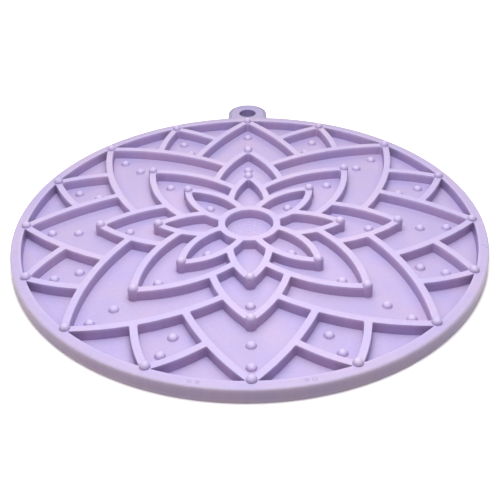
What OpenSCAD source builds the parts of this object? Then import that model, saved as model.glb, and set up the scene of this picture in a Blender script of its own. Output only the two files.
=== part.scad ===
// Lick mat: a round, moulded mat whose ridges draw a layered flower in a shallow tray.
// Origin: centre of the underside. +Z is up, +Y points to the hang tab.

/* [Mat] */
// Outside diameter of the mat, without its hang tab
mat_d = 203; // [190:1:240]
// Width of the raised rim
rim_w = 4.4; // [3.4:0.1:7]
// Thickness of the floor that carries the pattern
floor_t = 1.8; // [1:0.1:4]
// Height of the ridges and of the rim above the floor
ridge_h = 4.7; // [4.4:0.1:7]
// Width of a ridge
ridge_w = 3; // [2:0.1:3.4]
// Radius of the rounded outer top edge of the rim
rim_edge_r = 0.8; // [0.4:0.1:1.6]

/* [Centre ring] */
// Inside diameter of the ring round the centre cup
ring_d = 21; // [16:0.5:24]

/* [Inner petals] */
// Distance from the centre to the tips of the inner petals
inner_tip_r = 39.5; // [37:0.5:44]
// Angle between a diagonal inner petal's axis and its side, at the tip
inner_diag_half_angle = 42; // [38:0.5:46]
// Radius of the sides of a diagonal inner petal
inner_diag_side_r = 29; // [27:0.5:34]
// Angle between an axial inner petal's axis and its side, at the tip
inner_axis_half_angle = 40; // [36:0.5:44]
// Radius of the sides of an axial inner petal
inner_axis_side_r = 35.5; // [32:0.5:40]

/* [Middle petals] */
// Distance from the centre to the tips of the middle petals
middle_tip_r = 64.6; // [60:0.2:70]
// Angle between a middle petal's axis and its side, at the tip
middle_half_angle = 44.5; // [42:0.5:48]
// Radius of the sides of a middle petal
middle_side_r = 57.3; // [52:0.1:64]

/* [Outer petals] */
// Angle between a diagonal outer petal's axis and its side, at the tip
outer_diag_half_angle = 45.7; // [43:0.1:49]
// Radius of the sides of a diagonal outer petal
outer_diag_side_r = 100; // [92:1:112]
// Angle between an axial outer petal's axis and its side, at the tip
outer_axis_half_angle = 44.1; // [41:0.1:47]
// Radius of the sides of an axial outer petal
outer_axis_side_r = 120; // [108:1:136]

/* [Edge petals] */
// Angle between an edge petal's axis and its side, at the tip
edge_half_angle = 46.5; // [42:0.5:50]
// Radius of the sides of an edge petal
edge_side_r = 78; // [70:1:110]

/* [Studs and nubs] */
// Diameter of the posts with domed studs at the petal tips
stud_d = 4.5; // [4.4:0.1:5.6]
// Height of a stud's dome above the ridges
stud_dome_h = 1.8; // [1:0.1:2]
// Diameter of the nubs on the floor
nub_d = 4.3; // [3:0.1:5]
// Height of the nubs above the floor
nub_h = 1.8; // [0.8:0.1:1.9]
// Place of a diagonal inner petal's nub on the way from the centre ring to the tip
inner_nub_share = 0.438; // [0.35:0.001:0.55]
// Place of a middle petal's nub on the way from the inner tips to its own tip
middle_nub_share = 0.506; // [0.4:0.001:0.6]
// Place of an outer petal's near nub on the way from the middle tips to its own tip
outer_near_nub_share = 0.308; // [0.25:0.001:0.4]
// Place of an outer petal's far nub on the same way
outer_far_nub_share = 0.665; // [0.6:0.001:0.75]
// Place of an edge petal's near nub on the way from its foot to its tip
edge_near_nub_share = 0.289; // [0.25:0.001:0.4]
// Place of an edge petal's far nub on the same way
edge_far_nub_share = 0.633; // [0.6:0.001:0.75]

/* [Hang tab] */
// Width of the tab, which is also the diameter of its round end
tab_w = 19.6; // [16:0.2:26]
// Thickness of the tab
tab_t = 5.6; // [2:0.1:5.8]
// Diameter of the hang hole
hang_hole_d = 8.7; // [4:0.1:10]
// Distance from the mat's edge to the centre of the hang hole
hang_hole_reach = 6.8; // [5.1:0.1:9]
// Radius of the fillets at the foot of the tab
tab_fillet_r = 3; // [1:0.5:5]

/* [Hidden] */
$fn = 96;

mat_r = mat_d / 2;
rim_in_r = mat_r - rim_w;
mat_h = floor_t + ridge_h;
ring_out_r = ring_d / 2 + ridge_w;
hang_hole_y = mat_r + hang_hole_reach;

// Eight petals make a tier: four on the axes and four on the diagonals
tier_count = 8;
row_count = 4;
tier_step = 360 / tier_count;
row_step = 360 / row_count;
rim_stud_count = 2 * tier_count;

// A petal is its tip's distance from the centre, its half angle at the tip and its sides' radius
inner_diag = [inner_tip_r, inner_diag_half_angle, inner_diag_side_r];
inner_axis = [inner_tip_r, inner_axis_half_angle, inner_axis_side_r];
middle_any = [middle_tip_r, middle_half_angle, middle_side_r];
outer_diag = [rim_in_r, outer_diag_half_angle, outer_diag_side_r];
outer_axis = [rim_in_r, outer_axis_half_angle, outer_axis_side_r];
edge_any = [rim_in_r, edge_half_angle, edge_side_r];

function tip_r(petal) = petal[0];
function half_angle(petal) = petal[1];
function side_r(petal) = petal[2];

// The arc of a petal's side is centred at arc_x along its axis and arc_y beside it
function arc_x(petal) = tip_r(petal) - side_r(petal) * sin(half_angle(petal));
function arc_y(petal) = side_r(petal) * cos(half_angle(petal));

// Distance from the centre at which a ray, turned away from a petal's axis, leaves its outline
function reach_at(petal, turn) =
    let(
        along = arc_x(petal) * cos(turn) - arc_y(petal) * sin(turn),
        centre_r = norm([arc_x(petal), arc_y(petal)])
    )
    along + sqrt(pow(along, 2) - pow(centre_r, 2) + pow(side_r(petal) + ridge_w / 2, 2));

// An edge petal's foot is where the outer petals beside it meet
edge_foot_r = max(reach_at(outer_diag, tier_step / 2), reach_at(outer_axis, tier_step / 2));

function between(near_r, far_r, share) = near_r + share * (far_r - near_r);

ridge_color = "#d6c4f0";
floor_color = "#c9b7e6";

// The outline between the two side arcs of a petal, moved out by grow
module lens(petal, grow) {
    intersection() {
        translate([arc_x(petal), arc_y(petal)]) circle(r = side_r(petal) + grow);
        translate([arc_x(petal), -arc_y(petal)]) circle(r = side_r(petal) + grow);
    }
}

// The four filled petals of one row, which hide what lies under them
module row_of_lenses(petal, start) {
    for (k = [0:row_count - 1]) {
        rotate(start + k * row_step) lens(petal, ridge_w / 2);
    }
}

module ring_outline() {
    circle(r = ring_out_r);
}

module inner_outline() {
    ring_outline();
    row_of_lenses(inner_diag, tier_step);
    row_of_lenses(inner_axis, 0);
}

module middle_outline() {
    row_of_lenses(middle_any, tier_step);
    row_of_lenses(middle_any, 0);
}

module outer_outline() {
    row_of_lenses(outer_diag, tier_step);
    row_of_lenses(outer_axis, 0);
}

// The half disc that reaches from the centre to a petal's tip
module petal_reach(petal) {
    intersection() {
        circle(r = tip_r(petal));
        translate([0, -tip_r(petal)]) square([tip_r(petal), 2 * tip_r(petal)]);
    }
}

// One petal's ridge, which ends on the post at its tip and on the outlines given as children
module petal_ridge(petal, angle) {
    color(ridge_color)
    translate([0, 0, floor_t])
    linear_extrude(height = ridge_h)
    difference() {
        rotate(angle) intersection() {
            difference() {
                lens(petal, ridge_w / 2);
                lens(petal, -ridge_w / 2);
            }
            petal_reach(petal);
        }
        rotate(angle) translate([tip_r(petal), 0]) circle(d = stud_d);
        children();
    }
}

// A low dome of the given base diameter and height, standing on z = 0
module dome(base_d, height) {
    ball_r = (height * height + base_d * base_d / 4) / (2 * height);
    intersection() {
        translate([0, 0, height - ball_r]) sphere(r = ball_r);
        cylinder(d = base_d + height, h = 2 * height);
    }
}

// A post as tall as the ridges with a dome on it
module stud() {
    translate([0, 0, floor_t]) cylinder(d = stud_d, h = ridge_h);
    translate([0, 0, mat_h]) dome(stud_d, stud_dome_h);
}

// Copies of the children on a circle, spread evenly from the angle start
module on_circle(radius, count, start) {
    for (i = [0:count - 1]) {
        rotate(start + i * 360 / count) translate([radius, 0, 0]) children();
    }
}

module nub() {
    translate([0, 0, floor_t]) dome(nub_d, nub_h);
}

module floor_disc() {
    color(floor_color) cylinder(r = rim_in_r, h = floor_t);
}

module rim_wall() {
    edge_r = min(rim_edge_r, rim_w / 2);
    edge_steps = 6;
    edge = [for (i = [0:edge_steps])
        let(a = i * 90 / edge_steps)
        [mat_r - edge_r + edge_r * cos(a), mat_h - edge_r + edge_r * sin(a)]];
    color(ridge_color)
    difference() {
        rotate_extrude($fn = 360) polygon(concat([[rim_in_r, 0], [mat_r, 0]], edge, [[rim_in_r, mat_h]]));
        translate([0, 0, floor_t]) on_circle(rim_in_r, rim_stud_count, 0) cylinder(d = stud_d, h = mat_h);
    }
}

module centre_ring() {
    color(ridge_color)
    translate([0, 0, floor_t])
    linear_extrude(height = ridge_h)
    difference() {
        ring_outline();
        circle(d = ring_d);
    }
}

// One foot of the tab's outline, from inside the mat up to the straight side, on side 1 (right) or -1 (left)
function tab_foot(side) =
    let(
        foot_x = tab_w / 2 + tab_fillet_r,
        sunk_share = 0.6,
        foot_y = sqrt(pow(mat_r + sunk_share * tab_fillet_r, 2) - pow(foot_x, 2)),
        steps = 8
    )
    [for (i = [0:steps])
        let(a = 270 - 90 * i / steps)
        [side * (foot_x + tab_fillet_r * cos(a)), foot_y + tab_fillet_r * sin(a)]];

function reversed(list) = [for (i = [len(list) - 1:-1:0]) list[i]];

module hang_tab() {
    end_steps = 36;
    round_end = [for (i = [0:end_steps])
        let(a = i * 180 / end_steps)
        [tab_w / 2 * cos(a), hang_hole_y + tab_w / 2 * sin(a)]];
    color(ridge_color)
    linear_extrude(height = tab_t)
    difference() {
        polygon(concat([[0, rim_in_r]], tab_foot(1), round_end, reversed(tab_foot(-1))));
        circle(r = mat_r, $fn = 360);
        translate([0, hang_hole_y]) circle(d = hang_hole_d);
    }
}

module inner_petal(i) {
    angle = i * tier_step;
    if (i % 2 == 0) {
        petal_ridge(inner_axis, angle) {
            ring_outline();
            row_of_lenses(inner_diag, tier_step);
        }
    } else {
        petal_ridge(inner_diag, angle) ring_outline();
    }
}

module middle_petal(i) {
    angle = i * tier_step;
    if (i % 2 == 0) {
        petal_ridge(middle_any, angle) {
            inner_outline();
            row_of_lenses(middle_any, tier_step);
        }
    } else {
        petal_ridge(middle_any, angle) inner_outline();
    }
}

module outer_petal(i) {
    angle = i * tier_step;
    if (i % 2 == 0) {
        petal_ridge(outer_axis, angle) {
            middle_outline();
            row_of_lenses(outer_diag, tier_step);
        }
    } else {
        petal_ridge(outer_diag, angle) middle_outline();
    }
}

module edge_petal(i) {
    petal_ridge(edge_any, (i + 0.5) * tier_step) outer_outline();
}

module inner_studs() {
    color(ridge_color) on_circle(inner_tip_r, tier_count, 0) stud();
}

module middle_studs() {
    color(ridge_color) on_circle(middle_tip_r, tier_count, 0) stud();
}

module rim_studs() {
    color(ridge_color) on_circle(rim_in_r, rim_stud_count, 0) stud();
}

module inner_nubs() {
    nub_place_r = between(ring_out_r, inner_tip_r, inner_nub_share);
    color(floor_color) on_circle(nub_place_r, row_count, tier_step) nub();
}

module middle_nubs() {
    nub_place_r = between(inner_tip_r, middle_tip_r, middle_nub_share);
    color(floor_color) on_circle(nub_place_r, tier_count, 0) nub();
}

module outer_nubs() {
    color(floor_color) {
        on_circle(between(middle_tip_r, rim_in_r, outer_near_nub_share), tier_count, 0) nub();
        on_circle(between(middle_tip_r, rim_in_r, outer_far_nub_share), tier_count, 0) nub();
    }
}

module edge_nubs() {
    color(floor_color) {
        on_circle(between(edge_foot_r, rim_in_r, edge_near_nub_share), tier_count, tier_step / 2) nub();
        on_circle(between(edge_foot_r, rim_in_r, edge_far_nub_share), tier_count, tier_step / 2) nub();
    }
}

floor_disc();
rim_wall();
hang_tab();
centre_ring();
for (i = [0:tier_count - 1]) {
    inner_petal(i);
    middle_petal(i);
    outer_petal(i);
    edge_petal(i);
}
inner_studs();
middle_studs();
rim_studs();
inner_nubs();
middle_nubs();
outer_nubs();
edge_nubs();
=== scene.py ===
"""The looks of the lick mat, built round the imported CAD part.

Lengths are in millimetres until a mesh or a node is made, and in metres from there on. The moulded tray is
one continuous mesh: a distance field gives the outline of the ridges and of the rim, the outline is swept
through a moulded profile (rounded top edge, draft, fillet at the foot), and the flats between are filled
with triangles. Studs, nubs, the hang tab, the cup's dots and the mould's marks are pieces of their own.
"""
import math

import bpy
import numpy as np
from mathutils import Matrix, Vector
from mathutils.geometry import delaunay_2d_cdt


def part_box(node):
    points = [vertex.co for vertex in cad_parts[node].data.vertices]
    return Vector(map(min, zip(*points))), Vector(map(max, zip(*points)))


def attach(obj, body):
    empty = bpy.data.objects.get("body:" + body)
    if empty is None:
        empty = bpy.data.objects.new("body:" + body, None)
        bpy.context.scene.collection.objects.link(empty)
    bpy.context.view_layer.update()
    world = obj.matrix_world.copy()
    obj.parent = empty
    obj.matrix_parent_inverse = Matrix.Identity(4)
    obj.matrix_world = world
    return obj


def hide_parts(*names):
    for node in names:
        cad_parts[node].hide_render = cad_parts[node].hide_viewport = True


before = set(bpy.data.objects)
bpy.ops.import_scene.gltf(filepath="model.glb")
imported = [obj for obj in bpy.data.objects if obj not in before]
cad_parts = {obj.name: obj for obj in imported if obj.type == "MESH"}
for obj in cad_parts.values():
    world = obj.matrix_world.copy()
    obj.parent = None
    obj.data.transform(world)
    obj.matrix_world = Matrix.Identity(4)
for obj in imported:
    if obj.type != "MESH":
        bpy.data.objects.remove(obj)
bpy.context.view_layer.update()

MM = 0.001
FULL_TURN = 2 * math.pi


def high_corner(name):
    """A node's highest corner in millimetres."""
    low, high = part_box(name)
    return np.array(high) / MM


# Sizes from the frame

rim_high = high_corner("rim_wall")
floor_high = high_corner("floor_disc")
ring_high = high_corner("centre_ring")
tab_high = high_corner("hang_tab")
MAT_R = round(rim_high[0], 2)
MAT_H = round(rim_high[2], 2)
RIM_IN_R = round(floor_high[0], 2)
FLOOR_T = round(floor_high[2], 2)
RING_OUT_R = round(ring_high[0], 2)
TAB_T = round(tab_high[2], 2)
TAB_TOP_Y = round(tab_high[1], 2)

# Sizes that repeat the CAD source

TAB_W = 19.6
HOLE_R = 4.35
HOLE_Y = TAB_TOP_Y - TAB_W / 2
RIDGE_W = 3.0
RING_MID_R = RING_OUT_R - RIDGE_W / 2

# A petal is its tip's distance from the centre, its half angle at the tip in degrees and its sides' radius
INNER_TIP_R = 39.5
MIDDLE_TIP_R = 64.6
INNER_DIAG = (INNER_TIP_R, 42.0, 29.0)
INNER_AXIS = (INNER_TIP_R, 40.0, 35.5)
MIDDLE = (MIDDLE_TIP_R, 44.5, 57.3)
OUTER_DIAG = (RIM_IN_R, 45.7, 100.0)
OUTER_AXIS = (RIM_IN_R, 44.1, 120.0)
EDGE = (RIM_IN_R, 46.5, 78.0)

# A nub's place as a share of the way between the tips or outlines that it lies between
INNER_NUB_SHARE = 0.438
MIDDLE_NUB_SHARE = 0.506
OUTER_NUB_SHARES = (0.308, 0.665)
EDGE_NUB_SHARES = (0.289, 0.633)

# Studs and nubs as the photograph shows them, a little smaller than in the CAD

PETAL_STUD_R = 2.0
RIM_STUD_R = 2.06
RIM_STUD_INSET = 0.35
RIM_STUD_RING_R = RIM_IN_R - RIM_STUD_INSET
SHOULDER = 0.12
SHOULDER_LEAN = 0.3
STUD_DOME_H = 1.92
NUB_R = 2.05
NUB_H = 1.82
NUB_FOOT_R = 0.45

# Small moulded forms that the CAD leaves out

TOP_EDGE_R = 0.3
FOOT_R = 0.25
DRAFT = 0.12
WALL_LEAN = DRAFT / (MAT_H - FLOOR_T - TOP_EDGE_R - FOOT_R)
RIM_EDGE_R = 0.8
BOTTOM_EDGE_R = 0.25
CORNER_BLEND = 0.8
RIM_BLEND = 0.4
TIP_BLEND = 1.3
EDGE_STEPS = 4
# How far a turned piece goes on below the face that it stands on
SINK = 0.4


# The outline of the ridges as a distance field: below 0 inside a ridge, above 0 in the cells

# The pattern has this many petal tips on each circle
FOLDS = 8
FOLD_DEG = 360 / FOLDS
# Each row of petals is its petal, its first direction in degrees, its count and the rows that lie over it
PETAL_ROWS = (
    (INNER_DIAG, FOLD_DEG, FOLDS // 2, ()),
    (INNER_AXIS, 0, FOLDS // 2, (0,)),
    (MIDDLE, FOLD_DEG, FOLDS // 2, (0, 1)),
    (MIDDLE, 0, FOLDS // 2, (0, 1, 2)),
    (OUTER_DIAG, FOLD_DEG, FOLDS // 2, (2, 3)),
    (OUTER_AXIS, 0, FOLDS // 2, (2, 3, 4)),
    (EDGE, FOLD_DEG / 2, FOLDS, (4, 5)),
)
# The rows with a lower number than this also end on the centre ring
ROWS_AT_RING = 4


def blend_min(first, second, reach):
    """The smaller of two fields, with a smooth change where they differ by less than reach."""
    near = np.maximum(reach - np.abs(first - second), 0.0) / reach
    return np.minimum(first, second) - near * near * reach / 4


def arc_centre(petal):
    """The place of the centre of a petal's side arc: along the petal's axis, and away from it."""
    tip, half_deg, side_r = petal
    half = math.radians(half_deg)
    return tip - side_r * math.sin(half), side_r * math.cos(half)


def side_field(x, y, petal, start_deg, count):
    """Distance to the nearest side arc of count petals spread evenly, above 0 outside the petals."""
    arc_x, arc_y = arc_centre(petal)
    side_r = petal[2]
    sector = FULL_TURN / count
    r = np.hypot(x, y)
    turn = np.arctan2(y, x) - math.radians(start_deg)
    turn = (turn + sector / 2) % sector - sector / 2
    along = r * np.cos(turn)
    aside = r * np.sin(turn)
    left = np.hypot(along - arc_x, aside + arc_y) - side_r
    right = np.hypot(along - arc_x, aside - arc_y) - side_r
    return -blend_min(-left, -right, TIP_BLEND)


def ridge_field(x, y):
    """Distance to the nearest wall of the ring, the petals and the rim."""
    r = np.hypot(x, y)
    sides = [side_field(x, y, petal, start, count) for petal, start, count, _ in PETAL_ROWS]
    field = np.abs(r - RING_MID_R) - RIDGE_W / 2
    for row, (_, _, _, covers) in enumerate(PETAL_ROWS):
        band = np.abs(sides[row]) - RIDGE_W / 2
        if row < ROWS_AT_RING:
            band = np.maximum(band, RING_MID_R - r)
        for cover in covers:
            band = np.maximum(band, -sides[cover])
        field = blend_min(field, band, CORNER_BLEND)
    return blend_min(field, RIM_IN_R - r, RIM_BLEND)


SLOPE_STEP = 1e-3
LEAST_SLOPE = 0.05
# Rounds of moving a point towards a line, from far off, from nearer by and from close to it
FAR_ROUNDS = 4
NEAR_ROUNDS = 3
CLOSE_ROUNDS = 2


def slope(points):
    """The field's value and its rise in x and y at each point."""
    step = SLOPE_STEP
    x, y = points[:, 0], points[:, 1]
    rise_x = (ridge_field(x + step, y) - ridge_field(x - step, y)) / (2 * step)
    rise_y = (ridge_field(x, y + step) - ridge_field(x, y - step)) / (2 * step)
    return ridge_field(x, y), np.stack([rise_x, rise_y], 1)


def to_level(points, level, rounds):
    """The points moved along the slope to the line where the field has the given level."""
    points = points.copy()
    for _ in range(rounds):
        field, rise = slope(points)
        steepness = np.maximum((rise * rise).sum(1), LEAST_SLOPE)
        points -= ((field - level) / steepness)[:, None] * rise
    return points


# A step of a ring is crowded when it falls below this share of what it was, or below this gap
CROWDED_SHARE = 0.45
CROWDED_GAP = 0.04
SPREAD_ROUNDS = 14
SPREAD_REACH = 2
SPREAD_PULL = 0.6


def ring_at(ring, level):
    """The ring moved to a level, with its points spread out again where a tight bend crowds them."""
    steps = np.roll(ring, -1, 0) - ring
    lengths = np.hypot(*steps.T)
    moved = to_level(ring, level, NEAR_ROUNDS)
    for _ in range(SPREAD_ROUNDS):
        ahead = np.roll(moved, -1, 0) - moved
        gap = np.hypot(*ahead.T)
        kept = (ahead * steps).sum(1) / lengths
        tight = (kept < CROWDED_SHARE * lengths) | (gap < CROWDED_GAP)
        if not tight.any():
            break
        near = tight | np.roll(tight, 1)
        for _ in range(SPREAD_REACH):
            near = near | np.roll(near, 1) | np.roll(near, -1)
        middle = (np.roll(moved, 1, 0) + np.roll(moved, -1, 0)) / 2
        moved[near] += SPREAD_PULL * (middle - moved)[near]
        moved = to_level(moved, level, CLOSE_ROUNDS)
    return moved


# Tracing of the outline over a grid

GRID_STEP = 0.25
GRID_SPARE = 4
# Keeps the grid's points off the pattern's own axes
GRID_OFFSET = 0.37
SHORTEST_LOOP = 12


def grid_crossings():
    """The points where the grid's lines cross the outline, and the numbers of those round each grid square.

    A side of a square that the outline doesn't cross has the number -1.
    """
    half = int(math.ceil(RIM_IN_R / GRID_STEP)) + GRID_SPARE
    axis = (np.arange(-half, half + 1) + GRID_OFFSET) * GRID_STEP
    x, y = np.meshgrid(axis, axis, indexing="ij")
    field = ridge_field(x, y)
    inside = field < 0
    across = inside[:-1, :] != inside[1:, :]
    along = inside[:, :-1] != inside[:, 1:]
    across_ids = np.full(across.shape, -1)
    along_ids = np.full(along.shape, -1)
    across_ids[across] = np.arange(across.sum())
    along_ids[along] = np.arange(along.sum()) + across.sum()
    i, j = np.nonzero(across)
    share = field[i, j] / (field[i, j] - field[i + 1, j])
    across_points = np.stack([axis[i] + share * GRID_STEP, axis[j]], 1)
    i, j = np.nonzero(along)
    share = field[i, j] / (field[i, j] - field[i, j + 1])
    along_points = np.stack([axis[i], axis[j] + share * GRID_STEP], 1)
    squares = np.stack([across_ids[:, :-1], along_ids[1:, :], across_ids[:, 1:], along_ids[:-1, :]], -1)
    return np.concatenate([across_points, along_points]), squares.reshape(-1, 4)


def linked(count, squares):
    """For each of count crossings, the crossings that the grid squares join it to."""
    crossed = (squares >= 0).sum(1)
    links = [[] for _ in range(count)]
    pairs = [four[four >= 0] for four in squares[crossed == 2]]
    for four in squares[crossed == 4]:
        pairs += [four[:2], four[2:]]
    for a, b in pairs:
        links[a].append(b)
        links[b].append(a)
    return links


def trace_outline():
    """The closed lines where the field is 0, each an array of points with the ridge on its left."""
    points, squares = grid_crossings()
    links = linked(len(points), squares)
    seen = np.zeros(len(points), bool)
    loops = []
    for first in range(len(points)):
        if seen[first] or len(links[first]) != 2:
            continue
        loop, before, now = [], -1, first
        while not seen[now]:
            seen[now] = True
            loop.append(now)
            one, other = links[now]
            before, now = now, (other if one == before else one)
        if len(loop) > SHORTEST_LOOP:
            loops.append(points[loop])
    return [ordered(to_level(loop, 0.0, FAR_ROUNDS)) for loop in loops]


def ordered(loop):
    """The loop with the field rising to the right of its direction of travel."""
    travel = np.roll(loop, -1, 0) - np.roll(loop, 1, 0)
    rise = slope(loop)[1]
    if (travel[:, 0] * rise[:, 1] - travel[:, 1] * rise[:, 0]).sum() > 0:
        loop = loop[::-1]
    return loop


def distances_along(loop):
    """The way round a closed loop to each of its points, and the whole way round."""
    closed = np.vstack([loop, loop[:1]])
    return np.concatenate([[0], np.cumsum(np.hypot(*np.diff(closed, axis=0).T))])


def points_along(loop, distances):
    """The points of a closed loop at the given distances along it."""
    closed = np.vstack([loop, loop[:1]])
    known = distances_along(loop)
    return np.stack([np.interp(distances, known, closed[:, i]) for i in range(2)], 1)


FINE_STEP = 0.1
CHORD_ERROR = 0.006
SHORTEST_STEP = 0.2
LONGEST_STEP = 1.3
BEND_REACH = 4
STEP_GROWTH = 1.08
GROWTH_ROUNDS = 12
FEWEST_FINE = 24
FEWEST_POINTS = 12
LEAST_BEND = 1e-6


def resampled(loop):
    """The loop with points set close together on tight bends and further apart on long arcs."""
    length = distances_along(loop)[-1]
    fine = max(int(length / FINE_STEP), FEWEST_FINE)
    dense = to_level(points_along(loop, np.arange(fine) * length / fine), 0.0, CLOSE_ROUNDS)
    rise = slope(dense)[1]
    turn = np.arctan2(rise[:, 1], rise[:, 0])
    change = (np.roll(turn, -1) - np.roll(turn, 1) + math.pi) % FULL_TURN - math.pi
    bend = np.abs(change) / (2 * length / fine)
    bend = np.max([np.roll(bend, i) for i in range(-BEND_REACH, BEND_REACH + 1)], 0)
    # a chord strays from its arc by the arc's bend times the chord's square, over 8
    spacing = np.sqrt(8 * CHORD_ERROR / np.maximum(bend, LEAST_BEND))
    spacing = np.clip(spacing, SHORTEST_STEP, LONGEST_STEP)
    for _ in range(GROWTH_ROUNDS):
        beside = np.minimum(np.roll(spacing, 1), np.roll(spacing, -1))
        spacing = np.minimum(spacing, beside * STEP_GROWTH)
    density = np.concatenate([[0], np.cumsum((length / fine) / spacing)])
    count = max(int(round(density[-1])), FEWEST_POINTS)
    stops = np.interp(np.arange(count) * density[-1] / count, density, np.arange(fine + 1) * length / fine)
    return to_level(points_along(dense, stops * distances_along(dense)[-1] / length), 0.0, NEAR_ROUNDS)


# Meshes

MERGE_DISTANCE = 1e-7
TINY = 1e-12


class Shell:
    """A mesh in the making, with a normal for each of its points."""

    def __init__(self):
        self.points, self.normals, self.faces, self.size = [], [], [], 0

    def add(self, xy, z, normal_xy, normal_z):
        """A run of points at one height (or heights), and the index of its first."""
        xy = np.asarray(xy, float)
        z = np.broadcast_to(np.asarray(z, float), len(xy))
        nz = np.broadcast_to(np.asarray(normal_z, float), len(xy))
        self.points.append(np.column_stack([xy, z]))
        normal = np.column_stack([normal_xy, nz])
        self.normals.append(normal / np.linalg.norm(normal, axis=1)[:, None])
        start = self.size
        self.size += len(xy)
        return start

    def strip(self, first, second, count):
        """Quads between two closed rings of count points, with the second ring on the left going round."""
        here = np.arange(count)
        after = (here + 1) % count
        self.faces += np.stack([first + here, first + after, second + after, second + here], 1).tolist()

    def fill(self, rings, z, up, keep, extra=None):
        """Triangles across a flat between the given rings, which are (start, xy) pairs."""
        xy = np.vstack([ring for _, ring in rings])
        index = np.concatenate([start + np.arange(len(ring)) for start, ring in rings])
        if extra is not None and len(extra):
            xy = np.vstack([xy, extra])
            start = self.add(extra, z, np.zeros((len(extra), 2)), up)
            index = np.concatenate([index, start + np.arange(len(extra))])
        edges, base = [], 0
        for _, ring in rings:
            count = len(ring)
            edges += [(base + i, base + (i + 1) % count) for i in range(count)]
            base += count
        points = [Vector(point) for point in xy]
        found, _, triangles, origins, _, _ = delaunay_2d_cdt(points, edges, [], 0, MERGE_DISTANCE)
        place = np.array([index[origin[0]] for origin in origins])
        flat = np.array([list(point) for point in found])
        triangles = np.array(triangles)
        triangles = triangles[keep(flat[triangles].mean(1))]
        corner = flat[triangles[:, 0]]
        one, other = flat[triangles[:, 1]] - corner, flat[triangles[:, 2]] - corner
        turn = one[:, 0] * other[:, 1] - one[:, 1] * other[:, 0]
        solid = np.abs(turn) > TINY
        triangles, turn = triangles[solid], turn[solid]
        wrong = turn * up < 0
        triangles[wrong] = triangles[wrong][:, ::-1]
        self.faces += place[triangles].tolist()

    def make(self, name, material, replaced):
        """The mesh as a piece that rides on the part's one body."""
        points = np.vstack(self.points) * MM
        normals = np.vstack(self.normals)
        mesh = bpy.data.meshes.new(name)
        mesh.from_pydata(points.tolist(), [], self.faces)
        mesh.validate()
        mesh.polygons.foreach_set("use_smooth", [True] * len(mesh.polygons))
        mesh.normals_split_custom_set_from_vertices(normals.tolist())
        mesh.materials.append(material)
        mesh.update()
        piece = bpy.data.objects.new(name, mesh)
        bpy.context.scene.collection.objects.link(piece)
        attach(piece, "root")
        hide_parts(*replaced)
        return piece


def paint(piece, material, wanted):
    """Gives the faces that are wanted a second material."""
    piece.data.materials.append(material)
    for face in piece.data.polygons:
        if wanted(face):
            face.material_index = 1


def circle(r, count, centre=(0.0, 0.0)):
    """The points of a circle and the way out from its centre at each."""
    angles = np.arange(count) * FULL_TURN / count
    unit = np.stack([np.cos(angles), np.sin(angles)], 1)
    return unit * r + np.array(centre), unit


def hex_points(low, high, pitch):
    """Points of a triangular grid over a box."""
    rows = []
    for i, y in enumerate(np.arange(low[1], high[1], pitch * math.sqrt(3) / 2)):
        x = np.arange(low[0] + (i % 2) * pitch / 2, high[0], pitch)
        rows.append(np.column_stack([x, np.full(len(x), y)]))
    return np.vstack(rows)


def inside_ring(points, ring):
    """Which points lie inside a closed ring."""
    after = np.roll(ring, -1, 0)
    y0, y1 = ring[:, 1][None], after[:, 1][None]
    x0, x1 = ring[:, 0][None], after[:, 0][None]
    x, y = points[:, 0][:, None], points[:, 1][:, None]
    rise = np.where(y1 == y0, TINY, y1 - y0)
    crosses = ((y0 > y) != (y1 > y)) & (x < (x1 - x0) * (y - y0) / rise + x0)
    return crosses.sum(1) % 2 == 1


def rounding(r):
    """A quarter circle from a side to a flat, as steps inwards, steps down and the normal's side and up."""
    angles = [i * math.pi / 2 / EDGE_STEPS for i in range(EDGE_STEPS + 1)]
    return [(r * (1 - math.cos(a)), r * (1 - math.sin(a)), math.cos(a), math.sin(a)) for a in angles]


def rounded_side(top_z, top_r, bottom_r):
    """A side with rounded edges, from its top down to height 0: inset, height, the normal's side and up."""
    top = [(inset, top_z - drop, side, up) for inset, drop, side, up in reversed(rounding(top_r))]
    bottom = [(inset, rise, side, -up) for inset, rise, side, up in rounding(bottom_r)]
    return top + bottom


# Tints: the lilac by height in millimetres, with painted shade and painted highlight: deepest at the foot of
# the walls, lightest on the ridges' edges

FOOT_TINT = (0.500, 0.382, 0.665)
WALL_TINT = (0.597, 0.454, 0.704)
UPPER_TINT = (0.785, 0.640, 0.870)
FLOOR_TINT = (0.672, 0.562, 0.840)
TOP_TINT = (0.748, 0.624, 0.918)
EDGE_TINT = (0.820, 0.700, 0.970)
NUB_TINT = (0.820, 0.700, 0.980)
PETAL_DOME_TINT = (0.865, 0.725, 1.000)
POST_TINT = (0.545, 0.410, 0.650)
STUD_BASE_TINT = (0.640, 0.505, 0.770)
BASE_TINT = (0.640, 0.540, 0.680)
TAB_TINT = (0.534, 0.480, 0.770)
TAB_EDGE_TINT = (0.400, 0.370, 0.570)
HOLE_TINT = (0.310, 0.250, 0.470)
MARK_TINT = (0.520, 0.430, 0.680)
# The rim's top colour with its painted shade, a little darker than the ridges' tops, for the pieces that
# meet it
RIM_TOP_TINT = (0.665, 0.564, 0.814)

TRAY_TINTS = (
    (0.0, BASE_TINT), (FLOOR_T, FLOOR_TINT), (FLOOR_T + 0.08, FOOT_TINT), (FLOOR_T + 0.25, FOOT_TINT),
    (FLOOR_T + 0.8, WALL_TINT), (MAT_H - 1.8, WALL_TINT), (MAT_H - 0.5, UPPER_TINT),
    (MAT_H - 0.2, EDGE_TINT), (MAT_H - 0.08, EDGE_TINT), (MAT_H, TOP_TINT),
)
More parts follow.
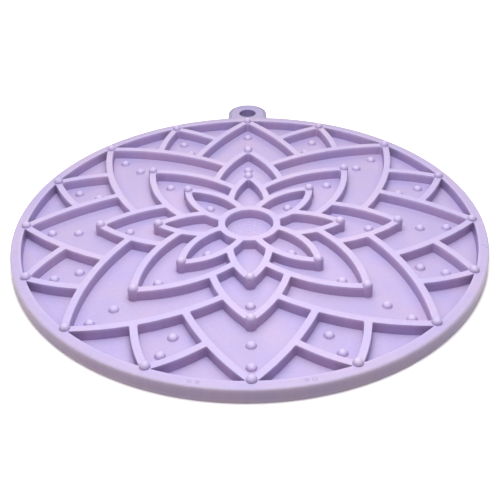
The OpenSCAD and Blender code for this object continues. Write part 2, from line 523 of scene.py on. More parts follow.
# Painted shade and light on the rim's outer side: greyer and darker than the walls inside, darkest half way
# up, with a painted reflection of the white floor at its foot and a painted highlight under its top edge
SIDE_TINTS = (
    (0.0, (0.735, 0.632, 0.758)), (1.0, (0.594, 0.493, 0.618)), (2.0, (0.514, 0.400, 0.558)),
    (4.0, (0.512, 0.393, 0.555)), (4.9, (0.558, 0.437, 0.602)), (5.7, (0.690, 0.548, 0.735)),
    (6.25, (0.790, 0.675, 0.880)), (MAT_H, RIM_TOP_TINT),
)
# Studs and nubs: painted shade dark on their posts and round their feet, and painted highlight light on
# their domes' tops
PETAL_STUD_TINTS = (
    (0.0, POST_TINT), (MAT_H - 1.3, POST_TINT), (MAT_H - 0.1, STUD_BASE_TINT),
    (MAT_H + 0.6, (0.720, 0.585, 0.840)), (MAT_H + 1.2, (0.745, 0.620, 0.910)),
    (MAT_H + 1.8, PETAL_DOME_TINT),
)
RIM_STUD_TINTS = (
    (0.0, POST_TINT), (MAT_H - 0.8, POST_TINT), (MAT_H + 0.3, (0.590, 0.468, 0.725)),
    (MAT_H + 0.8, (0.670, 0.550, 0.785)), (MAT_H + 1.25, (0.725, 0.605, 0.865)),
    (MAT_H + 1.8, (0.825, 0.705, 0.965)),
)
NUB_TINTS = (
    (FLOOR_T, FLOOR_TINT), (FLOOR_T + 0.1, WALL_TINT), (FLOOR_T + 0.6, FLOOR_TINT),
    (FLOOR_T + 1.5, NUB_TINT),
)
# The cup's dots are painted lighter on top, as highlight
DOT_TINTS = ((FLOOR_T, FLOOR_TINT), (FLOOR_T + 0.2, EDGE_TINT))
# The mould's marks are painted dark round their feet, as shade, and take the rim's painted top colour above
MARK_TINTS = ((0.0, MARK_TINT), (MAT_H + 0.04, MARK_TINT), (MAT_H + 0.1, RIM_TOP_TINT))
# The hang tab is painted darker than the ridges' tops, with a darker band of painted shade along its rounded
# edge, and the hang hole's wall is painted dark as shade
TAB_TINTS = (
    (0.0, BASE_TINT), (1.0, POST_TINT), (TAB_T - 1.6, POST_TINT), (TAB_T - 0.5, TAB_EDGE_TINT),
    (TAB_T - 0.12, TAB_EDGE_TINT), (TAB_T - 0.04, TAB_TINT),
)
HOLE_TINTS = ((0.0, HOLE_TINT), (TAB_T - 0.2, HOLE_TINT), (TAB_T, TAB_TINT))
TINT_H = MAT_H + STUD_DOME_H

# Shades: painted shade that the tint is multiplied by, by distance from the centre

PLAIN = (1.0, 1.0, 1.0)
# The rim's inner wall gets a darker, bluer painted shade
RIM_WALL_SHADE = (0.89, 0.89, 0.97)
RIM_WALL_SHADES = (
    (RIM_IN_R - 0.9, PLAIN), (RIM_IN_R - 0.4, RIM_WALL_SHADE), (RIM_IN_R - 0.02, RIM_WALL_SHADE),
    (RIM_IN_R + 0.3, PLAIN),
)
# The rim's top is painted darker towards its outer edge, and more so at the back, by the hang tab, as shade
RIM_TOP_SHADES = ((RIM_IN_R + 1.2, (0.92, 0.915, 0.935)), (MAT_R - RIM_EDGE_R, (0.92, 0.93, 0.905)))
RIM_TOP_BACK_SHADES = ((RIM_IN_R + 1.2, (0.86, 0.87, 0.89)), (MAT_R - RIM_EDGE_R, (0.80, 0.83, 0.80)))
TRAY_SHADES = (RIM_WALL_SHADES + RIM_TOP_SHADES, RIM_WALL_SHADES + RIM_TOP_BACK_SHADES)
# The rim's outer side gets a darker painted shade at the back
SIDE_BACK_SHADE = (0.78, 0.80, 0.82)
SIDE_SHADES = (((0.0, PLAIN), (MAT_R, PLAIN)), ((0.0, SIDE_BACK_SHADE), (MAT_R, SIDE_BACK_SHADE)))
# The back's shades start at this share of the mat's radius and rule alone at its edge
BACK_FROM_SHARE = 0.35
# Creases are darkened with painted shade, by how much of the open space round each point is blocked within
# this reach
CREASE_REACH = 5.0
CREASE_SHADE_TINT = (0.60, 0.60, 0.62)
CREASE_SAMPLES = 16

# Noises as (scale per metre, detail, roughness), each with the shades or the values that it gives

CLOUD_NOISE = (28.0, 3.0, 0.55)
CLOUD_SHADES = ((0.3, (0.955, 0.95, 0.965)), (0.7, PLAIN))
# The mould's tool marks run down the walls and mottle the flats
STREAK_NOISE = (650.0, 2.0, 0.6)
STREAK_SQUEEZE = (1.0, 1.0, 0.12)
STREAK_SHADES = ((0.3, (0.97, 0.965, 0.975)), (0.7, (1.02, 1.02, 1.015)))
# The lilac turns a little to blue or to pink from place to place
DRIFT_NOISE = (60.0, 2.0, 0.5)
DRIFT_SHADES = ((0.36, (0.965, 0.985, 1.025)), (0.64, (1.035, 1.01, 0.98)))
GLOSS_NOISE = (160.0, 2.0, 0.5)
GLOSS_ROUGHNESS = (0.36, 0.48)
# Bumps also have a strength and a depth in millimetres
SWELL_NOISE = (90.0, 1.0, 0.4)
SWELL_BUMP = (0.25, 0.4)
GRAIN_NOISE = (2600.0, 2.0, 0.6)
GRAIN_BUMP = (0.18, 0.05)
SILICONE_IOR = 1.42
SILICONE_SPECULAR = 0.4


def empty_tree(owner):
    """The nodes and the links of a material or a world, with the nodes cleared."""
    owner.use_nodes = True
    owner.node_tree.nodes.clear()
    return owner.node_tree.nodes, owner.node_tree.links


class Weave:
    """Short ways to add nodes to a material. Each one gives back the socket that it ends in."""

    def __init__(self, material):
        self.nodes, self.links = empty_tree(material)
        self.place = self.nodes.new("ShaderNodeTexCoord").outputs["Object"]

    def noise(self, kind, place=None):
        node = self.nodes.new("ShaderNodeTexNoise")
        for socket, value in zip(("Scale", "Detail", "Roughness"), kind):
            node.inputs[socket].default_value = value
        self.links.new(place or self.place, node.inputs["Vector"])
        return node.outputs["Fac"]

    def squeezed(self, factors):
        """The place with each of its axes multiplied."""
        node = self.nodes.new("ShaderNodeVectorMath")
        node.operation = "MULTIPLY"
        self.links.new(self.place, node.inputs[0])
        node.inputs[1].default_value = factors
        return node.outputs["Vector"]

    def times(self, colour, other):
        node = self.nodes.new("ShaderNodeVectorMath")
        node.operation = "MULTIPLY"
        self.links.new(colour, node.inputs[0])
        self.links.new(other, node.inputs[1])
        return node.outputs["Vector"]

    def length(self, vector):
        node = self.nodes.new("ShaderNodeVectorMath")
        node.operation = "LENGTH"
        self.links.new(vector, node.inputs[0])
        return node.outputs["Value"]

    def axis(self, name):
        """One coordinate of the place."""
        node = self.nodes.new("ShaderNodeSeparateXYZ")
        self.links.new(self.place, node.inputs["Vector"])
        return node.outputs[name]

    def spread(self, source, low, high, out_low=0.0, out_high=1.0):
        """A value taken from one range to another and held inside it."""
        node = self.nodes.new("ShaderNodeMapRange")
        values = (low, high, out_low, out_high)
        for socket, value in zip(("From Min", "From Max", "To Min", "To Max"), values):
            node.inputs[socket].default_value = value
        self.links.new(source, node.inputs["Value"])
        return node.outputs["Result"]

    def ramp(self, stops, source):
        node = self.nodes.new("ShaderNodeValToRGB")
        elements = node.color_ramp.elements
        while len(elements) < len(stops):
            elements.new(0.5)
        for element, (place, _) in zip(elements, stops):
            element.position = place
        for element, (_, colour) in zip(elements, stops):
            element.color = (*colour, 1)
        self.links.new(source, node.inputs["Fac"])
        return node.outputs["Color"]

    def mixed(self, factor, first, second):
        """Two colours mixed, all of the second where the factor is 1."""
        node = self.nodes.new("ShaderNodeMix")
        node.data_type = "RGBA"
        sockets = {socket.identifier: socket for socket in node.inputs}
        self.links.new(factor, node.inputs["Factor"])
        self.links.new(first, sockets["A_Color"])
        self.links.new(second, sockets["B_Color"])
        return next(socket for socket in node.outputs if socket.identifier == "Result_Color")

    def bump(self, kind, height, under=None):
        node = self.nodes.new("ShaderNodeBump")
        strength, depth = kind
        node.inputs["Strength"].default_value = strength
        node.inputs["Distance"].default_value = depth * MM
        self.links.new(height, node.inputs["Height"])
        if under:
            self.links.new(under, node.inputs["Normal"])
        return node.outputs["Normal"]

    def crease(self, alone):
        """1 in the open and less in a crease, which is the same from every side; it darkens the tint as
        painted shade.
        """
        node = self.nodes.new("ShaderNodeAmbientOcclusion")
        node.samples = CREASE_SAMPLES
        node.only_local = alone
        node.inputs["Distance"].default_value = CREASE_REACH * MM
        return node.outputs["AO"]


def radial_shade(weave, front_shades, back_shades):
    """The painted shade by distance from the centre, with the back's painted shades taking over towards the
    hang tab.
    """
    away = weave.spread(weave.length(weave.squeezed((1.0, 1.0, 0.0))), 0.0, MAT_R * MM)
    front, back = (weave.ramp([(r / MAT_R, shade) for r, shade in shades], away)
                   for shades in (front_shades, back_shades))
    to_back = weave.spread(weave.axis("Y"), BACK_FROM_SHARE * MAT_R * MM, MAT_R * MM)
    return weave.mixed(to_back, front, back)


def silicone(name, shaded_tints, shades=None, alone=False):
    """Moulded silicone tinted by height with painted shade and highlight, with painted shade in its creases
    and, if shades are given, painted shade by place.

    A piece that is alone takes no notice of its neighbours in its creases.
    """
    material = bpy.data.materials.new(name)
    weave = Weave(material)
    out = weave.nodes.new("ShaderNodeOutputMaterial")
    surface = weave.nodes.new("ShaderNodeBsdfPrincipled")
    weave.links.new(surface.outputs["BSDF"], out.inputs["Surface"])
    surface.inputs["Base Color"].default_value = (*TOP_TINT, 1)
    surface.inputs["IOR"].default_value = SILICONE_IOR
    surface.inputs["Specular IOR Level"].default_value = SILICONE_SPECULAR

    height = weave.spread(weave.axis("Z"), 0.0, TINT_H * MM)
    tint = weave.ramp([(z / TINT_H, colour) for z, colour in shaded_tints], height)
    streaks = weave.noise(STREAK_NOISE, weave.squeezed(STREAK_SQUEEZE))
    tint = weave.times(tint, weave.ramp(CLOUD_SHADES, weave.noise(CLOUD_NOISE)))
    tint = weave.times(tint, weave.ramp(STREAK_SHADES, streaks))
    tint = weave.times(tint, weave.ramp(DRIFT_SHADES, weave.noise(DRIFT_NOISE)))
    tint = weave.times(tint, weave.ramp(((0.0, CREASE_SHADE_TINT), (1.0, PLAIN)), weave.crease(alone)))
    if shades:
        tint = weave.times(tint, radial_shade(weave, *shades))
    weave.links.new(tint, surface.inputs["Base Color"])

    roughness = weave.spread(weave.noise(GLOSS_NOISE), 0.0, 1.0, *GLOSS_ROUGHNESS)
    weave.links.new(roughness, surface.inputs["Roughness"])
    swell = weave.bump(SWELL_BUMP, weave.noise(SWELL_NOISE))
    grain = weave.bump(GRAIN_BUMP, weave.noise(GRAIN_NOISE), swell)
    weave.links.new(grain, surface.inputs["Normal"])
    return material


# The moulded tray: floor, rim, centre ring and petals in one mesh

RIM_POINTS = 480
FLOOR_PITCH = 3.0
FLOOR_MARGIN = 0.9
BASE_PITCH = 6.0
BASE_MARGIN = 2.0
# A triangle between two ridge tops lies a little less deep in the field than the edge's radius
TOP_KEEP_SHARE = 0.98
# A face that is flatter than this belongs to the underside or the top
FLAT_UP = 0.999


def wall_rings(loop):
    """The rings of one outline from the top down to the floor: points, height, the normal's side and up."""
    top, foot = [], []
    line = loop
    for inset, drop, side, up in rounding(TOP_EDGE_R):
        line = ring_at(line, -inset)
        top.append((line, MAT_H - drop, side, up))
    line = loop
    for reach, rise, side, up in rounding(FOOT_R):
        line = ring_at(line, DRAFT + reach)
        foot.append((line, FLOOR_T + rise, side, up))
    return top[::-1] + foot


def sweep_wall(tray, loop):
    """Adds one outline's wall, and gives back its ring on the flat top and its ring on the floor."""
    rings = wall_rings(loop)
    starts = []
    for line, z, side, up in rings:
        outward = slope(line)[1]
        outward /= np.linalg.norm(outward, axis=1)[:, None]
        starts.append(tray.add(line, z, outward * side, up + WALL_LEAN * side))
    for first, second in zip(starts, starts[1:]):
        tray.strip(second, first, len(loop))
    return (starts[0], rings[0][0]), (starts[-1], rings[-1][0])


def sweep_rim(tray):
    """Adds the rim's outer side, and gives back its rings on the top and on the underside."""
    rings = []
    for inset, z, side, up in rounded_side(MAT_H, RIM_EDGE_R, BOTTOM_EDGE_R):
        xy, unit = circle(MAT_R - inset, RIM_POINTS)
        rings.append((tray.add(xy, z, unit * side, up), xy))
    for (first, _), (second, _) in zip(rings, rings[1:]):
        tray.strip(second, first, RIM_POINTS)
    return rings[0], rings[-1]


def fill_cell(tray, start, ring):
    """The floor of one cell, with points spread over it."""
    points = hex_points(ring.min(0), ring.max(0), FLOOR_PITCH)
    points = points[ridge_field(points[:, 0], points[:, 1]) > DRAFT + FOOT_R + FLOOR_MARGIN]
    points = points[inside_ring(points, ring)]
    tray.fill([(start, ring)], FLOOR_T, 1, lambda p: inside_ring(p, ring), points)


def make_tray():
    tray = Shell()
    walls = [sweep_wall(tray, resampled(loop)) for loop in trace_outline()]
    rim_top, rim_base = sweep_rim(tray)
    tray.fill([rim_top] + [top for top, _ in walls], MAT_H, 1,
              lambda p: ridge_field(p[:, 0], p[:, 1]) < -TOP_EDGE_R * TOP_KEEP_SHARE)
    for _, (start, ring) in walls:
        fill_cell(tray, start, ring)
    base_points = hex_points((-MAT_R, -MAT_R), (MAT_R, MAT_R), BASE_PITCH)
    base_points = base_points[np.hypot(*base_points.T) < MAT_R - BOTTOM_EDGE_R - BASE_MARGIN]
    tray.fill([rim_base], 0.0, -1, lambda p: np.hypot(*p.T) < MAT_R, base_points)

    petals = [f"{tier}_petal_{i + 1}" for tier in ("inner", "middle", "outer", "edge") for i in range(FOLDS)]
    lilac = silicone("lilac_silicone_tray", TRAY_TINTS, TRAY_SHADES)
    piece = tray.make("moulded_tray", lilac, ["floor_disc", "rim_wall", "centre_ring"] + petals)
    # The rim's outer side takes its own tint, with painted shade and painted highlights
    side_r = (MAT_R - RIM_EDGE_R) * MM
    paint(piece, silicone("lilac_silicone_side", SIDE_TINTS, SIDE_SHADES, alone=True),
          lambda face: math.hypot(face.center.x, face.center.y) > side_r and abs(face.normal.z) < FLAT_UP)


# Turned pieces: studs, nubs, dots and marks

STUD_POINTS = 32
DOT_POINTS = 16
MARK_POINTS = 20
DOME_STEPS = 7
LOW_DOME_STEPS = 4


def turned(shell, centre, profile, count, stretch=1.0, turn=0.0):
    """A closed turned form: profile runs from the top's pole to the bottom's as (r, z, normal_r, normal_z).

    It may be stretched in the direction turn.
    """
    pole_top = shell.add([centre], profile[0][1], [(0.0, 0.0)], 1.0)
    spin = np.array([[math.cos(turn), math.sin(turn)], [-math.sin(turn), math.cos(turn)]])
    starts = []
    for r, z, nr, nz in profile[1:-1]:
        xy, unit = circle(r, count)
        placed = (xy * (stretch, 1.0)) @ spin + np.array(centre)
        starts.append(shell.add(placed, z, ((unit / (stretch, 1.0)) @ spin) * nr, nz))
    pole_low = shell.add([centre], profile[-1][1], [(0.0, 0.0)], -1.0)
    here = np.arange(count)
    after = (here + 1) % count
    shell.faces += np.stack([np.full(count, pole_top), starts[0] + here, starts[0] + after], 1).tolist()
    for first, second in zip(starts, starts[1:]):
        shell.strip(second, first, count)
    shell.faces += np.stack([np.full(count, pole_low), starts[-1] + after, starts[-1] + here], 1).tolist()


def cap_ball(base_r, height):
    """The radius of the ball that a cap is cut from."""
    return (height * height + base_r * base_r) / (2 * height)


def ball_profile(ball_r, ball_z, reach, steps):
    """A ball's profile from its top down to the angle reach."""
    return [(ball_r * math.sin(t), ball_z + ball_r * math.cos(t), math.sin(t), math.cos(t))
            for t in (reach * i / steps for i in range(steps + 1))]


def dome_profile(base_r, height, base_z, steps):
    """A cap of a ball that stands on a circle."""
    ball_r = cap_ball(base_r, height)
    ball_z = base_z + height - ball_r
    return ball_profile(ball_r, ball_z, math.acos((base_z - ball_z) / ball_r), steps)


def hidden_base(r, z):
    """The side and the underside of a piece below the face that it stands on."""
    return [(r, z - SINK, 1.0, 0.0), (0.0, z - SINK, 0.0, -1.0)]


def stud_profile(dome_r):
    """A dome on a slightly wider post that stands on the floor with a small concave foot."""
    post_r = dome_r + SHOULDER
    dome = dome_profile(dome_r, STUD_DOME_H, MAT_H, DOME_STEPS)
    shoulder = [(post_r, MAT_H - SHOULDER, 1.0, SHOULDER_LEAN)]
    foot = [(post_r + reach, FLOOR_T + rise, side, up) for reach, rise, side, up in rounding(FOOT_R)]
    return dome + shoulder + foot + hidden_base(post_r + FOOT_R, FLOOR_T)


def nub_profile():
    """A low dome whose concave foot runs out on the floor."""
    ball_r = cap_ball(NUB_R, NUB_H)
    ball_z = FLOOR_T + NUB_H - ball_r
    # the foot's small circle touches the ball from outside and the floor from above
    foot_z = FLOOR_T + NUB_FOOT_R
    across = math.sqrt((ball_r + NUB_FOOT_R) ** 2 - (foot_z - ball_z) ** 2)
    meet = math.atan2(across, foot_z - ball_z)
    foot = []
    for i in range(1, EDGE_STEPS + 1):
        lean = meet * (1 - i / EDGE_STEPS)
        side, up = math.sin(lean), math.cos(lean)
        foot.append((across - NUB_FOOT_R * side, FLOOR_T + NUB_FOOT_R * (1 - up), side, up))
    return ball_profile(ball_r, ball_z, meet, DOME_STEPS) + foot + hidden_base(across, FLOOR_T)


def low_dome(base_r, height, base_z):
    return dome_profile(base_r, height, base_z, LOW_DOME_STEPS) + hidden_base(base_r, base_z)


def reach_at(petal, turn_deg):
    """Distance from the centre at which a ray, turned away from a petal's axis, leaves its outline."""
    arc_x, arc_y = arc_centre(petal)
    turn = math.radians(turn_deg)
    along = arc_x * math.cos(turn) - arc_y * math.sin(turn)
    return along + math.sqrt(along ** 2 - arc_x ** 2 - arc_y ** 2 + (petal[2] + RIDGE_W / 2) ** 2)


def between(near_r, far_r, share):
    return near_r + share * (far_r - near_r)


def on_circle(r, count, start_deg):
    """Places spread evenly on a circle."""
    return [(r * math.cos(a), r * math.sin(a))
            for a in (math.radians(start_deg) + i * FULL_TURN / count for i in range(count))]


def make_turned(name, lilac, profile, centres):
    shell = Shell()
    for centre in centres:
        turned(shell, centre, profile, STUD_POINTS)
    shell.make("moulded_" + name, lilac, [name])


def make_studs():
    lilac = silicone("lilac_silicone_petal_studs", PETAL_STUD_TINTS)
    make_turned("inner_studs", lilac, stud_profile(PETAL_STUD_R), on_circle(INNER_TIP_R, FOLDS, 0))
    make_turned("middle_studs", lilac, stud_profile(PETAL_STUD_R), on_circle(MIDDLE_TIP_R, FOLDS, 0))
    lilac = silicone("lilac_silicone_rim_studs", RIM_STUD_TINTS)
    make_turned("rim_studs", lilac, stud_profile(RIM_STUD_R), on_circle(RIM_STUD_RING_R, 2 * FOLDS, 0))


def make_nubs():
    lilac = silicone("lilac_silicone_nubs", NUB_TINTS)
    half_fold = FOLD_DEG / 2
    edge_foot_r = max(reach_at(OUTER_DIAG, half_fold), reach_at(OUTER_AXIS, half_fold))
    inner_r = between(RING_OUT_R, INNER_TIP_R, INNER_NUB_SHARE)
    middle_r = between(INNER_TIP_R, MIDDLE_TIP_R, MIDDLE_NUB_SHARE)
    outer, edge = [], []
    for share in OUTER_NUB_SHARES:
        outer += on_circle(between(MIDDLE_TIP_R, RIM_IN_R, share), FOLDS, 0)
    for share in EDGE_NUB_SHARES:
        edge += on_circle(between(edge_foot_r, RIM_IN_R, share), FOLDS, half_fold)
    make_turned("inner_nubs", lilac, nub_profile(), on_circle(inner_r, FOLDS // 2, FOLD_DEG))
    make_turned("middle_nubs", lilac, nub_profile(), on_circle(middle_r, FOLDS, 0))
    make_turned("outer_nubs", lilac, nub_profile(), outer)
    make_turned("edge_nubs", lilac, nub_profile(), edge)


# Small relief: dots on the floor of the centre cup, and the marks that the mould leaves on the rim's top

DOT_R = 0.55
DOT_H = 0.28
DOT_PITCH = 2.4
DOT_RINGS = 3
FIRST_RING_DOTS = 6

# Each mark is its distance from the centre, its azimuth in degrees clockwise from +Y, its radius, its height
# and how many times as long as wide it is, outwards from the centre
MOULD_MARKS = (
    (99.2, 258.8, 0.19, 0.08, 8.5), (99.2, 257.8, 0.16, 0.06, 8.0), (99.0, 101.5, 0.19, 0.08, 8.5),
    (100.3, 102.4, 0.45, 0.08, 1.0), (99.2, 192.4, 0.8, 0.12, 1.0), (99.2, 190.7, 0.8, 0.09, 1.0),
    (99.0, 169.1, 0.8, 0.09, 1.0), (99.2, 167.5, 1.05, 0.14, 1.0),
)


def make_cup_dots():
    dots = Shell()
    places = [(0.0, 0.0)]
    for ring in range(1, DOT_RINGS + 1):
        places += on_circle(ring * DOT_PITCH, ring * FIRST_RING_DOTS, 90)
    for place in places:
        turned(dots, place, low_dome(DOT_R, DOT_H, FLOOR_T), DOT_POINTS)
    dots.make("cup_dots", silicone("lilac_silicone_dots", DOT_TINTS), [])


def make_mould_marks():
    marks = Shell()
    for r, azimuth, mark_r, height, stretch in MOULD_MARKS:
        a = math.radians(90 - azimuth)
        centre = (r * math.cos(a), r * math.sin(a))
        turned(marks, centre, low_dome(mark_r, height, MAT_H), MARK_POINTS, stretch, a)
    marks.make("mould_marks", silicone("lilac_silicone_marks", MARK_TINTS), [])


# The hang tab

# The tab seems a little wider and longer in the photograph than in the CAD
TAB_MORE = 0.7
TAB_HALF_W = (TAB_W + TAB_MORE) / 2
TAB_END_Y = TAB_TOP_Y + TAB_MORE
TAB_FILLET_R = 4.5
# The share of the fillet's radius by which the fillet starts inside the rim
FILLET_SINK_SHARE = 0.1
TAB_ROOT_DEPTH = 4.1
TAB_EDGE_R = 0.45
HOLE_EDGE_R = 0.3
HOLE_POINTS = 64
FILLET_STEPS = 10
TAB_END_STEPS = 48
ROOT_STEPS = 12
# A shallow band runs round the tab's top: inset, drop and lean of its inner and its outer edge
TAB_BAND = ((2.1, 0.0, 0.0), (1.5, 0.14, 0.08))
TAB_BAND_DROP = 0.2


def tab_outline():
    """The tab's outline, the way out from each of its points, and the way along which an inset is measured.

    The two ways are the same, except on the root, which lies hidden inside the rim and isn't inset.
    """
    fillet_x = TAB_HALF_W + TAB_FILLET_R
    fillet_y = math.sqrt((MAT_R + (1 - FILLET_SINK_SHARE) * TAB_FILLET_R) ** 2 - fillet_x ** 2)
    right = []
    for i in range(FILLET_STEPS + 1):
        a = math.pi * (1.5 - 0.5 * i / FILLET_STEPS)
        right.append((fillet_x + TAB_FILLET_R * math.cos(a), fillet_y + TAB_FILLET_R * math.sin(a),
                      -math.cos(a), -math.sin(a)))
    left = [(-x, y, -nx, ny) for x, y, nx, ny in reversed(right)]
    end = []
    for i in range(TAB_END_STEPS + 1):
        a = math.pi * i / TAB_END_STEPS
        end.append((TAB_HALF_W * math.cos(a), TAB_END_Y - TAB_HALF_W + TAB_HALF_W * math.sin(a),
                    math.cos(a), math.sin(a)))
    root_r = MAT_R - TAB_ROOT_DEPTH
    spread = math.asin(fillet_x / root_r)
    root = []
    for i in range(ROOT_STEPS + 1):
        a = spread * (2 * i / ROOT_STEPS - 1)
        root.append((root_r * math.sin(a), root_r * math.cos(a), 0.0, 0.0))
    line = np.array(right + end + left + root)
    xy, inset_way, outward = line[:, :2], line[:, 2:], line[:, 2:].copy()
    hidden = ~inset_way.any(1)
    outward[hidden] = -xy[hidden] / np.hypot(*xy[hidden].T)[:, None]
    return xy, outward, inset_way


def sweep_tab(tab):
    """Adds the tab's band and outer side, and gives back its rings on the top and on the underside."""
    line, outward, inset_way = tab_outline()
    rings = []
    for inset, drop, lean in TAB_BAND:
        xy = line - inset_way * inset
        rings.append((tab.add(xy, TAB_T - drop, inset_way * lean, 1.0), xy))
    for inset, z, side, up in rounded_side(TAB_T - TAB_BAND_DROP, TAB_EDGE_R, BOTTOM_EDGE_R):
        xy = line - inset_way * inset
        rings.append((tab.add(xy, z, outward * side, up), xy))
    for (first, _), (second, _) in zip(rings, rings[1:]):
        tab.strip(second, first, len(line))
    return rings[0], rings[-1]


def sweep_hole(tab):
    """Adds the hang hole's wall, and gives back its rings on the top and on the underside."""
    rings = []
    for inset, z, side, up in rounded_side(TAB_T, HOLE_EDGE_R, BOTTOM_EDGE_R):
        xy, unit = circle(HOLE_R + inset, HOLE_POINTS, (0.0, HOLE_Y))
        rings.append((tab.add(xy, z, -unit * side, up), xy))
    for (first, _), (second, _) in zip(rings, rings[1:]):
        tab.strip(first, second, HOLE_POINTS)
    return rings[0], rings[-1]


def make_tab():
    tab = Shell()
    for outer, hole, z, up in zip(sweep_tab(tab), sweep_hole(tab), (TAB_T, 0.0), (1, -1)):
        tab.fill([outer, hole], z, up, lambda p: inside_ring(p, outer[1]) & ~inside_ring(p, hole[1]))
    piece = tab.make("moulded_hang_tab", silicone("lilac_silicone_tab", TAB_TINTS), ["hang_tab"])
    # The hang hole's faces get the hole's tint, which is painted shade
    hole_r = (HOLE_R + HOLE_EDGE_R) * MM
    paint(piece, silicone("lilac_silicone_hole", HOLE_TINTS),
          lambda face: math.hypot(face.center.x, face.center.y - HOLE_Y * MM) < hole_r)


# Stage: a floor and a world that look white and light the mat plainly

WHITE = (1.0, 1.0, 1.0, 1.0)
FLOOR_WHITE = (0.85, 0.85, 0.85, 1.0)
FLOOR_REACH_M = 6.0
FLOOR_GAP = 0.02
AMBIENT_STRENGTH = 0.02
# The floor's glow by distance from the centre, weak under the mat, which leaves a narrow shadow at its edge
GLOW = ((MAT_R, 0.05), (MAT_R + 1.6, 0.8), (2.5 * MAT_R, 1.0))


def seen_by_eye(nodes, links):
    """1 for camera, glossy and transmission rays, and 0 for the rays that carry light."""
    path = nodes.new("ShaderNodeLightPath")
    first = nodes.new("ShaderNodeMath")
    first.operation = "MAXIMUM"
    links.new(path.outputs["Is Camera Ray"], first.inputs[0])
    links.new(path.outputs["Is Glossy Ray"], first.inputs[1])
    second = nodes.new("ShaderNodeMath")
    second.operation = "MAXIMUM"
    links.new(first.outputs[0], second.inputs[0])
    links.new(path.outputs["Is Transmission Ray"], second.inputs[1])
    return second.outputs[0]


def glow_strength(weave):
    """The floor's glow as a curve over the distance from the centre."""
    near_r, far_r = GLOW[0][0], GLOW[-1][0]
    away = weave.spread(weave.length(weave.place), near_r * MM, far_r * MM)
    node = weave.nodes.new("ShaderNodeFloatCurve")
    curve = node.mapping.curves[0]
    for point, (_, strength) in zip(curve.points, (GLOW[0], GLOW[-1])):
        point.location = (point.location[0], strength)
    for r, strength in GLOW[1:-1]:
        curve.points.new((r - near_r) / (far_r - near_r), strength)
    for point in curve.points:
        point.handle_type = "VECTOR"
    node.mapping.update()
    weave.links.new(away, node.inputs["Value"])
    return node.outputs["Value"]


def floor_material():
    """White to the camera and in reflections, and plainly lit to every other ray, with a narrow shadow."""
    material = bpy.data.materials.new("white_floor")
    weave = Weave(material)
    nodes, links = weave.nodes, weave.links
    out = nodes.new("ShaderNodeOutputMaterial")
    lit = nodes.new("ShaderNodeBsdfDiffuse")
    lit.inputs["Color"].default_value = FLOOR_WHITE
    glow = nodes.new("ShaderNodeEmission")
    glow.inputs["Color"].default_value = WHITE
    links.new(glow_strength(weave), glow.inputs["Strength"])
    seen = nodes.new("ShaderNodeAddShader")
    links.new(lit.outputs[0], seen.inputs[0])
    links.new(glow.outputs[0], seen.inputs[1])
    mix = nodes.new("ShaderNodeMixShader")
    links.new(seen_by_eye(nodes, links), mix.inputs[0])
    links.new(lit.outputs[0], mix.inputs[1])
    links.new(seen.outputs[0], mix.inputs[2])
    links.new(mix.outputs[0], out.inputs["Surface"])
    return material


def make_floor():
    mesh = bpy.data.meshes.new("floor")
    reach = FLOOR_REACH_M
    mesh.from_pydata([(-reach, -reach, 0), (reach, -reach, 0), (reach, reach, 0), (-reach, reach, 0)], [],
                     [(0, 1, 2, 3)])
    mesh.materials.append(floor_material())
    floor = bpy.data.objects.new("stage_floor", mesh)
    floor.location = (0, 0, -FLOOR_GAP * MM)
    bpy.context.scene.collection.objects.link(floor)


def make_world():
    """White to the eye, and a weak even light to every other ray."""
    world = bpy.data.worlds.new("studio")
    bpy.context.scene.world = world
    nodes, links = empty_tree(world)
    out = nodes.new("ShaderNodeOutputWorld")
    mix = nodes.new("ShaderNodeMixShader")
    links.new(seen_by_eye(nodes, links), mix.inputs[0])
    for socket, strength in ((1, AMBIENT_STRENGTH), (2, 1.0)):
        background = nodes.new("ShaderNodeBackground")
        background.inputs["Color"].default_value = WHITE
        background.inputs["Strength"].default_value = strength
        links.new(background.outputs[0], mix.inputs[socket])
    links.new(mix.outputs[0], out.inputs[0])


# Lamps, in metres and watts

CENTRE = (0, 0, 0)
OVERHEAD_XY = (-0.005, -0.045)
OVERHEAD_H = 0.34
OVERHEAD_SIZE = 0.28
LAMP_DISTANCE = 0.9
LAMP_SIZE = 0.45


def around(azimuth_deg, elevation_deg):
    """A lamp's place seen from the mat's centre, with the azimuth clockwise from +Y."""
    azimuth, elevation = math.radians(azimuth_deg), math.radians(elevation_deg)
    flat = LAMP_DISTANCE * math.cos(elevation)
    return flat * math.sin(azimuth), flat * math.cos(azimuth), LAMP_DISTANCE * math.sin(elevation)


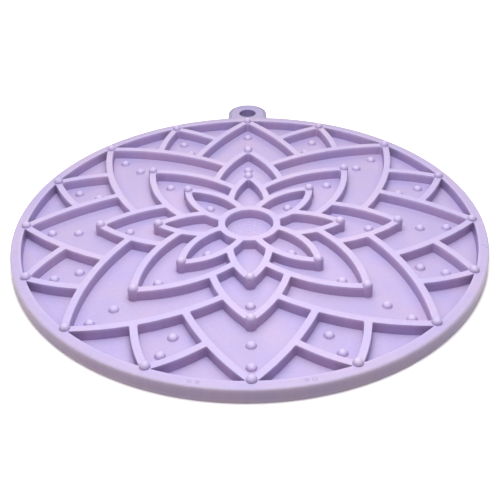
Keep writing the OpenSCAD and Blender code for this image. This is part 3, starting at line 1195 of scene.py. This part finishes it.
# Each lamp is its name, its place, what it points at, its size, its power and its colour
LAMPS = (
    ("overhead", (*OVERHEAD_XY, OVERHEAD_H), (*OVERHEAD_XY, 0), OVERHEAD_SIZE, 1.05, (0.86, 0.95, 1.0)),
    ("front", around(180, 67), CENTRE, LAMP_SIZE, 1.8, (1.0, 0.78, 0.84)),
    ("left", around(260, 15), CENTRE, LAMP_SIZE, 0.82, (1.0, 0.92, 0.85)),
    ("right", around(100, 15), CENTRE, LAMP_SIZE, 0.26, (0.55, 0.78, 1.0)),
    ("rear", around(0, 35), CENTRE, LAMP_SIZE, 0.95, (1.0, 0.7, 0.6)),
)


def area_light(name, place, target, size, power, color):
    data = bpy.data.lights.new(name, "AREA")
    data.shape = "DISK"
    data.size = size
    data.energy = power
    data.color = color
    lamp = bpy.data.objects.new(name, data)
    lamp.location = place
    lamp.rotation_euler = (Vector(target) - Vector(place)).to_track_quat("-Z", "Y").to_euler()
    lamp.visible_camera = False
    bpy.context.scene.collection.objects.link(lamp)


# Camera: a pinhole at the photograph's angle, fitted to the pattern's studs and nubs

ELEVATION = math.radians(34.0)
ROLL = math.radians(-0.90)
DISTANCE = 3.804 * RIM_IN_R * MM
AIM_Z = 2.956 * MM
FOCAL_PX = 845.5
PHOTO_PX = 500.0
SHIFT_PX = (-0.7, -20.9)
SENSOR_W = 36.0
CLIP_M = (0.01, 20.0)


def make_camera():
    back = Vector((0.0, -math.cos(ELEVATION), math.sin(ELEVATION)))
    right = Vector((1.0, 0.0, 0.0))
    up = back.cross(right)
    rolled_right = right * math.cos(ROLL) + up * math.sin(ROLL)
    rolled_up = up * math.cos(ROLL) - right * math.sin(ROLL)
    data = bpy.data.cameras.new("camera")
    data.sensor_width = SENSOR_W
    data.sensor_fit = "HORIZONTAL"
    data.lens = SENSOR_W * FOCAL_PX / PHOTO_PX
    data.shift_x = -SHIFT_PX[0] / PHOTO_PX
    data.shift_y = SHIFT_PX[1] / PHOTO_PX
    data.clip_start, data.clip_end = CLIP_M
    camera = bpy.data.objects.new("camera", data)
    matrix = Matrix((rolled_right, rolled_up, back)).transposed().to_4x4()
    matrix.translation = back * DISTANCE + Vector((0, 0, AIM_Z))
    camera.matrix_world = matrix
    bpy.context.scene.collection.objects.link(camera)
    bpy.context.scene.camera = camera


# The scene

make_tray()
make_studs()
make_nubs()
make_cup_dots()
make_mould_marks()
make_tab()
make_floor()
make_world()
for lamp in LAMPS:
    area_light(*lamp)
make_camera()
bpy.context.scene.view_settings.view_transform = "Standard"
